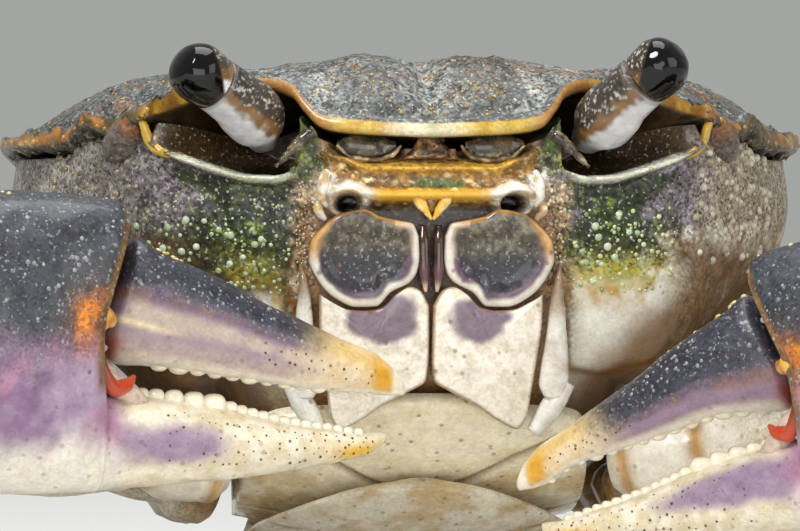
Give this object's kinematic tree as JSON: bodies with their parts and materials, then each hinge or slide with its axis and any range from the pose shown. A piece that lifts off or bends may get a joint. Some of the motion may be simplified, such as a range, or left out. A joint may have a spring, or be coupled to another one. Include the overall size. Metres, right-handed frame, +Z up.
{
  "type": "freshwater crab",
  "caption": "Still life-size model of a freshwater crab standing with both claws held before its face.",
  "frame": {"origin": "middle of the base of the box round the whole crab, at floor level", "axes": "+Z up, the crab faces -Y, +X towards its own left side, along the spread of its legs"},
  "size_m": [0.1084, 0.0656, 0.0323],
  "materials": {
    "shell": "wet smooth shell, slate grey mottled with cream, yellow at the rim",
    "face": "wet shell, grey to cream with green algae and an orange and yellow mouth frame",
    "pale_shell": "wet cream shell with fine brown pits",
    "jaw": "wet shell, dark olive in the middle with an orange and white rim",
    "stalk": "wet shell, dark above, ochre band, white below",
    "eye": "black and glossy",
    "dark_shell": "dark brown and glossy",
    "claw": "wet shell, slate grey above, mauve across the middle and cream below",
    "leg": "wet shell, ochre mottled with slate brown"
  },
  "bodies": {
    "root": {"antenna_left": "dark_shell", "antenna_right": "dark_shell", "antennule_left": "dark_shell", "antennule_right": "dark_shell", "body": "face", "carapace": "shell", "claw_arm_left": "claw", "claw_arm_right": "claw", "claw_finger_left": "claw", "claw_finger_right": "claw", "claw_hand_left": "claw", "claw_hand_right": "claw", "claw_wrist_left": "claw", "claw_wrist_right": "claw", "eye_left": "eye", "eye_right": "eye", "eyestalk_left": "stalk", "eyestalk_right": "stalk", "jaw_lower_left": "pale_shell", "jaw_lower_right": "pale_shell", "jaw_outer_left": "pale_shell", "jaw_outer_right": "pale_shell", "jaw_upper_left": "jaw", "jaw_upper_right": "jaw", "leg1_knee_left": "leg", "leg1_knee_right": "leg", "leg1_shin_left": "leg", "leg1_shin_right": "leg", "leg1_thigh_left": "leg", "leg1_thigh_right": "leg", "leg1_toe_left": "leg", "leg1_toe_right": "leg", "leg2_knee_left": "leg", "leg2_knee_right": "leg", "leg2_shin_left": "leg", "leg2_shin_right": "leg", "leg2_thigh_left": "leg", "leg2_thigh_right": "leg", "leg2_toe_left": "leg", "leg2_toe_right": "leg", "leg3_knee_left": "leg", "leg3_knee_right": "leg", "leg3_shin_left": "leg", "leg3_shin_right": "leg", "leg3_thigh_left": "leg", "leg3_thigh_right": "leg", "leg3_toe_left": "leg", "leg3_toe_right": "leg", "leg4_knee_left": "leg", "leg4_knee_right": "leg", "leg4_shin_left": "leg", "leg4_shin_right": "leg", "leg4_thigh_left": "leg", "leg4_thigh_right": "leg", "leg4_toe_left": "leg", "leg4_toe_right": "leg", "palp_left": "dark_shell", "palp_right": "dark_shell", "sternum": "pale_shell", "tail_flap": "pale_shell"}
  },
  "joints": []
}
